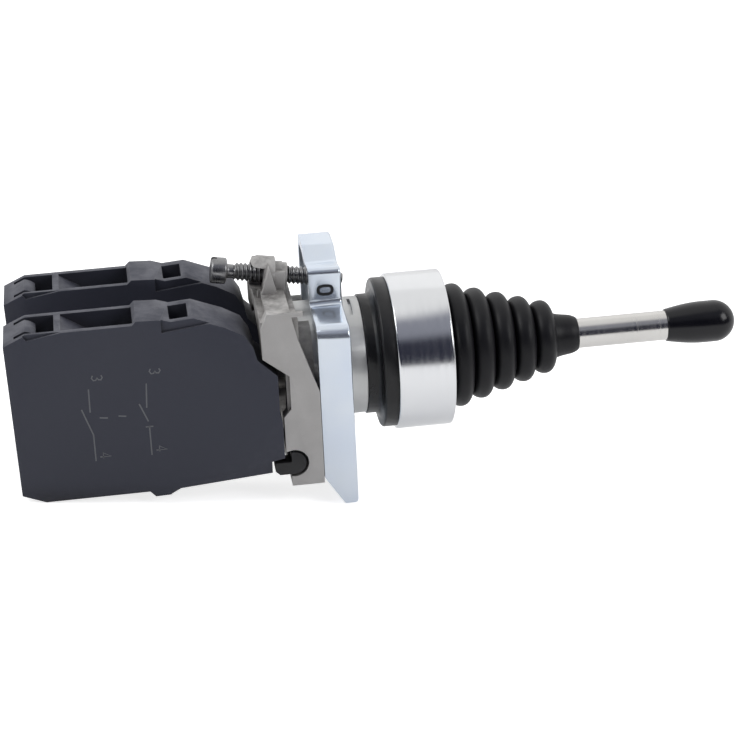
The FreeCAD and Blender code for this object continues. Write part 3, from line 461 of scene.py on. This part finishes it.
def makeBezel():
    b = bezel
    profile = rounded([
        (b["rear"], b["inner"] + b["rearChamfer"]), (b["rear"], b["radius"]),
        (b["front"], b["radius"]), (b["front"], b["mouth"]), (b["front"] - b["lip"], b["mouth"]),
        (b["front"] - b["lip"], b["inner"]), (b["rear"], b["inner"]),
    ], b["edge"], b["edgeSteps"])
    piece = turnedSurface("bezel_shell", profile, b["turns"])
    autoSmooth(piece, b["sharpAngle"])
    dress(piece, "chrome")
    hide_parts("bezel_ring")
    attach(piece, "base")


boot = {"firstRing": 15.6, "pitch": 4.15, "rings": 5, "crest": 11.7, "step": 1.18, "valley": 2.35, "wall": 0.55,
        "footRear": 10.9, "footFront": 11.9, "footRadius": 12.95, "collarEnd": 38.9, "collarRadius": 4.05,
        "throat": 2.9, "split": 21.825, "foldPower": 2.15, "foldReach": 0.995, "shoulder": 1.3, "drop": 0.35,
        "tip": 1.2, "tipWall": 0.3, "neckRound": 0.5, "neckSteps": 6, "turns": 128, "steps": 26, "sharpAngle": 50}


def bootRings(first, last):
    # over one fold, r = crest - depth (1 - sqrt(1 - |t| to the fold power)), where t runs from -1 to 1
    # and depth changes by half a step to either side
    t = np.linspace(-boot["foldReach"], boot["foldReach"], boot["steps"])
    out = []
    for i in range(first, last + 1):
        centre = boot["firstRing"] + i * boot["pitch"]
        crest = boot["crest"] - i * boot["step"]
        depth = boot["valley"] + np.sign(t) * boot["step"] / 2
        r = crest - depth * (1 - np.sqrt(1 - np.abs(t) ** boot["foldPower"]))
        out += list(zip(centre + t * boot["pitch"] / 2, r))
    return out


def bootInside(x):
    # radius of the inner wall, a straight cone under the valleys
    return boot["crest"] - boot["valley"] - boot["wall"] - (x - boot["firstRing"]) * boot["step"] / boot["pitch"]


def makeBoot():
    b = boot
    rings = bootRings(0, 1)
    foot = [(b["footRear"], b["footRadius"]), (b["footFront"], b["footRadius"]), (b["footFront"], rings[0][1])]
    footInside = bootInside(b["footFront"])
    inside = [(b["split"], bootInside(b["split"])), (b["footFront"], footInside), (b["footRear"], footInside)]
    piece = turnedSurface("boot_rear_folds", foot + rings + inside, b["turns"])
    autoSmooth(piece, b["sharpAngle"])
    dress(piece, "boot_rubber")
    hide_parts("boot_lower")
    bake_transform(piece)
    rings = bootRings(2, b["rings"] - 1)
    end = rings[-1]
    neck = rounded([
        end, (end[0] + b["shoulder"], end[1] - b["drop"]), (b["collarEnd"] - b["tip"], b["collarRadius"] - b["drop"]),
        (b["collarEnd"], b["throat"] + b["tipWall"]), (b["collarEnd"], b["throat"]),
    ], b["neckRound"], b["neckSteps"])
    upper = rings + neck[1:] + [(end[0], b["throat"]), (b["split"], bootInside(b["split"]))]
    piece = turnedSurface("boot_front_folds", upper, b["turns"])
    autoSmooth(piece, b["sharpAngle"])
    dress(piece, "boot_rubber")
    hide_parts("boot_upper")
    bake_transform(piece)


knob = {"start": 56.1, "length": 13.6, "baseRadius": 3.15, "radius": 4.0, "socket": 2.87, "socketDepth": 5.0,
        "rim": 0.35, "swell": 7.0, "mouthStep": 0.1, "mouthInset": 0.3, "turns": 96, "steps": 36, "sharpAngle": 45}


def makeKnob():
    # radius swells by a sine from the base, stays level, and closes in a dome
    k = knob
    tip = k["start"] + k["length"]
    s = np.linspace(0, 1, k["steps"])
    growth = k["radius"] - k["baseRadius"]
    step = k["mouthStep"]
    bottom = k["start"] + k["socketDepth"]
    mouth = [(bottom, 0), (bottom, k["socket"]), (k["start"], k["socket"]),
             (k["start"], k["baseRadius"] - k["mouthInset"]), (k["start"] + step, k["baseRadius"] - step)]
    sine = np.sin(s * math.pi / 2)
    swell = list(zip(k["start"] + k["rim"] + s * k["swell"], k["baseRadius"] + growth * sine))
    dome = list(zip(tip - k["radius"] + k["radius"] * sine, k["radius"] * np.cos(s * math.pi / 2)))
    piece = turnedSurface("knob_body", mouth + swell + dome, k["turns"])
    autoSmooth(piece, k["sharpAngle"])
    dress(piece, "knob_gloss")
    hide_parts("lever_knob")
    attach(piece, "lever")


clampScrew = {"place": (-28.3, 1.0, 18.96), "lean": 9.16, "headRadius": 2.45, "headLength": 2.9, "neckRadius": 1.3,
              "neckEnd": 2.75, "neckGap": 0.1, "radius": 1.7, "tip": 23.2, "pitch": 0.8, "depth": 0.34,
              "turns": 40, "steps": 260, "sharpAngle": 35, "round": 0.45, "roundSteps": 5,
              "slotHalf": 0.35, "slotDepth": 1.0, "slotAhead": 1, "slotPast": 0.5,
              "tipLength": 1.0, "tipShare": 0.2, "tipPower": 0.35,
              "leadLength": 0.8, "leadShare": 0.65, "leadPower": 0.4}


def cutSlot(piece, x, y, z):
    # takes the box between the two limits given for each axis, in mm, out of a closed piece
    corners = [(a * mm, b * mm, c * mm) for a in x for b in y for c in z]
    sides = [(0, 1, 3, 2), (4, 6, 7, 5), (0, 4, 5, 1), (2, 3, 7, 6), (0, 2, 6, 4), (1, 5, 7, 3)]
    box = addMesh("slot_box", corners, sides, smooth=False)
    cut = piece.modifiers.new("slot", "BOOLEAN")
    cut.operation = "DIFFERENCE"
    cut.object = box
    whole = bpy.context.evaluated_depsgraph_get()
    mesh = bpy.data.meshes.new_from_object(piece.evaluated_get(whole))
    piece.modifiers.clear()
    piece.data = mesh
    bpy.data.objects.remove(box)


def makeClampScrew():
    # thread: r = R - depth (1 - cos(2 pi x / pitch - a)) / 2, where a is the angle round the shank;
    # it narrows at the tip, and where it runs out to the neck
    c = clampScrew
    half = c["headLength"] / 2
    x = np.linspace(c["neckEnd"], c["tip"], c["steps"])
    a = np.linspace(0, 2 * math.pi, c["turns"], endpoint=False)
    phase = 2 * math.pi * x[:, None] / c["pitch"] - a[None, :]
    tip = np.clip((c["tip"] - x) / c["tipLength"], 0, 1)[:, None] * (1 - c["tipShare"]) + c["tipShare"]
    lead = np.clip((x - c["neckEnd"]) / c["leadLength"], 0, 1)[:, None] * (1 - c["leadShare"]) + c["leadShare"]
    r = (c["radius"] - c["depth"] * (1 - np.cos(phase)) / 2) * tip ** c["tipPower"] * lead ** c["leadPower"]
    head = rounded([(-half, 0), (-half, c["headRadius"]), (half, c["headRadius"]), (half, c["neckRadius"]),
                    (c["neckEnd"] - c["neckGap"], c["neckRadius"])], c["round"], c["roundSteps"])
    xAll = np.concatenate([[p[0] for p in head], x, [c["tip"]]])
    headRadii = np.array([p[1] for p in head])[:, None] * np.ones(c["turns"])
    rAll = np.concatenate([headRadii, r, np.zeros((1, c["turns"]))])
    points = np.stack([np.broadcast_to(xAll[:, None], rAll.shape), rAll * np.cos(a), rAll * np.sin(a)], -1) * mm
    faces = gridFaces(len(xAll), c["turns"], False, True)[:, ::-1]
    piece = addMesh("clamp_screw_threaded", points.reshape(-1, 3), faces)
    tidyMesh(piece)
    reach = c["headRadius"] + c["slotPast"]
    cutSlot(piece, (-half - c["slotAhead"], c["slotDepth"] - half), (-c["slotHalf"], c["slotHalf"]), (-reach, reach))
    lean = Matrix.Rotation(math.radians(c["lean"]), 4, "Y")
    piece.data.transform(Matrix.Translation(Vector(c["place"]) * mm) @ lean)
    autoSmooth(piece, c["sharpAngle"])
    dress(piece, "screw_steel")
    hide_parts("clamp_screw")
    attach(piece, "screw")


makeBezel()
makeBoot()
makeKnob()
makeClampScrew()
print("turned pieces made")


# Pieces with broken edges

edgeWidths = {"near_block_housing": 0.22, "far_block_housing": 0.22,
              "near_block_cover": 0.15, "far_block_cover": 0.15,
              "clamp_collar": 0.22, "lock_lever": 0.2, "clamp_plate": 0.15, "head_body": 0.15, "panel_gasket": 0.12}
bodyOf = {node: body for body, members in frame["record"]["behaviour"]["bodies"].items() for node in members}
for node, width in edgeWidths.items():
    dress(softEdged(node, width, bodyOf[node]), slotOf[node])
print("edges broken:", len(edgeWidths))


# Printed marks on the near block: two contact symbols and plain numbers

marks = {"face": -15.0, "lift": 0.02, "line": 0.27, "numberSize": 0.75, "sharpest": 0.5,
         "dark": (0.13, 0.135, 0.15), "light": (0.2, 0.205, 0.22)}
strokes = [
    [(-53.9, 4.6), (-54.0, 0.0)], [(-55.5, 0.7), (-53.8, -4.5)], [(-53.8, -4.5), (-53.8, -9.8)],
    [(-52.4, -1.2), (-50.9, -1.4)], [(-49.0, -1.2), (-47.6, -1.4)],
    [(-43.5, 4.7), (-43.8, -0.1)], [(-45.1, 0.8), (-43.7, -2.85)],
    [(-44.3, -3.9), (-42.9, -3.9)], [(-43.6, -3.9), (-43.6, -9.65)],
]
threePath = [(-0.6, 1.0), (0.0, 1.3), (0.6, 0.9), (0.5, 0.3), (0.0, 0.05),
             (0.6, -0.3), (0.65, -0.9), (0.0, -1.3), (-0.65, -1.0)]
fourPath = [(0.35, -1.3), (0.35, 1.3), (-0.7, -0.5), (0.75, -0.5)]
numberPlaces = [(threePath, -52.2, 6.7), (fourPath, -52.0, -8.8), (threePath, -41.8, 7.0), (fourPath, -41.75, -8.5)]


def ribbonPoints(path, width):
    # a flat band along a line of points, its joints mitred by the mean of both normals
    p = np.array(path, float)
    d = np.diff(p, axis=0)
    d /= np.linalg.norm(d, axis=1)[:, None]
    n = np.stack([-d[:, 1], d[:, 0]], 1)
    both = n[:-1] + n[1:]
    length = np.maximum(np.linalg.norm(both, axis=1)[:, None], marks["sharpest"])
    joint = np.vstack([n[:1], both / length, n[-1:]])
    return p + joint * width / 2, p - joint * width / 2


def inkPiece(name, paths, look, closed, body):
    # bands of ink on a plane of constant Y, each a thin closed slab
    points = []
    faces = []
    for path in paths:
        line = path + path[:2] if closed else path
        left, right = ribbonPoints(line, look["line"])
        if closed:
            left, right = left[1:], right[1:]
        first = len(points)
        count = len(left)
        points += [(x * mm, (look["face"] - marks["lift"]) * mm, z * mm) for x, z in list(left) + list(right)]
        faces += [(first + i, first + count + i, first + count + i + 1, first + i + 1) for i in range(count - 1)]
    piece = addMesh(name, points, faces, smooth=False)
    work = bmesh.new()
    work.from_mesh(piece.data)
    bmesh.ops.remove_doubles(work, verts=work.verts, dist=mergeReach * mm)
    work.to_mesh(piece.data)
    work.free()
    wall = piece.modifiers.new("ink", "SOLIDIFY")
    wall.thickness = marks["lift"] * mm
    wall.offset = -1.0
    values = patterns["ink"]
    material, tree, shader = newMaterial(name + "_finish")
    grain = useGroup(tree, grainGroup, Size=values["size"], Mottle=values["mottle"])
    tree.links.new(mixColour(tree, grain.outputs["Tone"], look["dark"], look["light"]), shader.inputs["Base Color"])
    rough = rangeNode(tree, grain.outputs["Tone"], *values["shinyTone"], *values["roughness"])
    tree.links.new(rough, shader.inputs["Roughness"])
    piece.data.materials.append(material)
    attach(piece, body)


def makeMarks():
    paths = list(strokes)
    for shape, x, z in numberPlaces:
        # the numbers read from above downwards, so they lie on their side
        paths.append([(x + q * marks["numberSize"], z - p * marks["numberSize"]) for p, q in shape])
    inkPiece("near_block_marks", paths, marks, False, "base")


stamp = {"centre": (-9.1, 14.9), "face": -3.3, "halfSize": (1.3, 0.84), "line": 0.58, "power": 0.72, "steps": 28,
         "dark": (0.006, 0.006, 0.007), "light": (0.02, 0.02, 0.022)}


def makeStamp():
    # a plain nought lying on its side: x and z follow cos a and sin a to a power below 1, a squarish ring
    a = np.linspace(0, 2 * math.pi, stamp["steps"], endpoint=False)
    x = stamp["centre"][0] + stamp["halfSize"][0] * np.sign(np.cos(a)) * np.abs(np.cos(a)) ** stamp["power"]
    z = stamp["centre"][1] + stamp["halfSize"][1] * np.sign(np.sin(a)) * np.abs(np.sin(a)) ** stamp["power"]
    inkPiece("clamp_plate_nought", [list(zip(x, z))], stamp, True, "base")


makeMarks()
makeStamp()
print("marks made")


# Stage: floor under the lowest points, lamps, world and camera

stageLook = {"floorSize": 6.0, "floorGap": 0.2, "floorGrey": 0.8, "floorGlow": 0.78, "floorReflected": 0.25,
             "worldLevel": 0.88, "darkRoom": (0.028, 0.03, 0.048), "darkTop": (0.5, 0.72),
             "greyRoom": (0.28, 0.29, 0.34), "greyTop": (0.88, 1.0), "nearSide": (0.15, -0.3)}


def restingPlane():
    # through the lowest point of the clamp plate, as steep as the blocks behind it allow
    plate = np.array([v.co for v in nodes["clamp_plate"].data.vertices])
    block = np.array([v.co for v in nodes["near_block_housing"].data.vertices])
    foot = plate[plate[:, 2].argmin()]
    slope = ((block[:, 2] - foot[2]) / (block[:, 0] - foot[0])).max()
    return Vector((foot[0], 0, foot[2])), slope


def makeFloor():
    foot, slope = restingPlane()
    size = stageLook["floorSize"]
    corners = ((-size, -size), (size, -size), (size, size), (-size, size))
    points = [(x, y, foot.z + slope * (x - foot.x) - stageLook["floorGap"] * mm) for x, y in corners]
    floor = addMesh("floor", points, [(0, 1, 2, 3)], smooth=False)
    material = bpy.data.materials.new("pale_floor")
    material.use_nodes = True
    tree = material.node_tree
    tree.nodes.clear()
    diffuse = addNode(tree, "ShaderNodeBsdfDiffuse")
    grey = stageLook["floorGrey"]
    diffuse.inputs["Color"].default_value = (grey, grey, grey, 1)
    glow = addNode(tree, "ShaderNodeEmission")
    path = addNode(tree, "ShaderNodeLightPath")
    seen = mathNode(tree, "MULTIPLY", path.outputs["Is Camera Ray"], stageLook["floorGlow"])
    reflected = mathNode(tree, "MULTIPLY", path.outputs["Is Glossy Ray"], stageLook["floorReflected"])
    tree.links.new(mathNode(tree, "ADD", seen, reflected), glow.inputs["Strength"])
    both = addNode(tree, "ShaderNodeAddShader")
    tree.links.new(diffuse.outputs[0], both.inputs[0])
    tree.links.new(glow.outputs[0], both.inputs[1])
    tree.links.new(both.outputs[0], addNode(tree, "ShaderNodeOutputMaterial").inputs["Surface"])
    floor.data.materials.append(material)


def makeWorld():
    world = bpy.data.worlds.new("studio")
    world.use_nodes = True
    bpy.context.scene.world = world
    tree = world.node_tree
    tree.nodes.clear()
    direction = addNode(tree, "ShaderNodeSeparateXYZ")
    tree.links.new(addNode(tree, "ShaderNodeTexCoord").outputs["Generated"], direction.inputs[0])
    # a dark room on the near side, low down, for metal to reflect; bright above and behind
    nearSide = rangeNode(tree, direction.outputs["Y"], *stageLook["nearSide"])
    lowDown = rangeNode(tree, direction.outputs["Z"], *stageLook["greyTop"], 1.0, 0.0)
    darkToGrey = rangeNode(tree, direction.outputs["Z"], *stageLook["darkTop"])
    roomColour = mixColour(tree, darkToGrey, stageLook["darkRoom"], stageLook["greyRoom"])
    path = addNode(tree, "ShaderNodeLightPath")
    unseen = mathNode(tree, "SUBTRACT", 1.0, path.outputs["Is Camera Ray"])
    dark = mathNode(tree, "MULTIPLY", mathNode(tree, "MULTIPLY", nearSide, lowDown), unseen)
    sky = addNode(tree, "ShaderNodeBackground")
    tree.links.new(mixColour(tree, dark, (1.0, 1.0, 1.0), roomColour), sky.inputs["Color"])
    strength = mathNode(tree, "MAXIMUM", stageLook["worldLevel"], path.outputs["Is Camera Ray"])
    tree.links.new(strength, sky.inputs["Strength"])
    tree.links.new(sky.outputs[0], addNode(tree, "ShaderNodeOutputWorld").inputs["Surface"])


lamps = {
    "key": {"place": (-0.65, -0.15, 0.75), "size": 0.5, "power": 2.6},
    "fill": {"place": (0.8, -0.5, 0.5), "size": 0.5, "power": 3.0},
    "back": {"place": (0.1, 0.8, 0.6), "size": 0.8, "power": 0.3},
}


def makeLamps():
    for name, lamp in lamps.items():
        data = bpy.data.lights.new(name, "AREA")
        data.shape = "SQUARE"
        data.size = lamp["size"]
        data.energy = lamp["power"]
        light = bpy.data.objects.new(name, data)
        light.location = lamp["place"]
        light.rotation_euler = (Vector((0, 0, 0)) - light.location).to_track_quat("-Z", "Y").to_euler()
        bpy.context.scene.collection.objects.link(light)


photoView = {"azimuth": -6.73, "elevation": 24.12, "roll": -2.62, "place": (-47.8, -393.1, 174.1),
             "focalPixels": 2289.0, "imageWidth": 736.0, "sensor": 36.0, "nearest": 0.01, "farthest": 50}


def makeCamera():
    az, el, roll = (math.radians(photoView[key]) for key in ("azimuth", "elevation", "roll"))
    back = Vector((math.sin(az) * math.cos(el), -math.cos(az) * math.cos(el), math.sin(el)))
    level = Vector((math.cos(az), math.sin(az), 0))
    upward = back.cross(level)
    right = level * math.cos(roll) + upward * math.sin(roll)
    up = upward * math.cos(roll) - level * math.sin(roll)
    data = bpy.data.cameras.new("camera")
    data.sensor_width = photoView["sensor"]
    data.lens = photoView["focalPixels"] / photoView["imageWidth"] * photoView["sensor"]
    data.clip_start = photoView["nearest"]
    data.clip_end = photoView["farthest"]
    camera = bpy.data.objects.new("camera", data)
    turn = Matrix((right, up, back)).transposed().to_4x4()
    camera.matrix_world = Matrix.Translation(Vector(photoView["place"]) * mm) @ turn
    bpy.context.scene.collection.objects.link(camera)
    bpy.context.scene.camera = camera


makeFloor()
makeWorld()
makeLamps()
makeCamera()
bpy.context.scene.view_settings.view_transform = "Standard"
print("stage set")
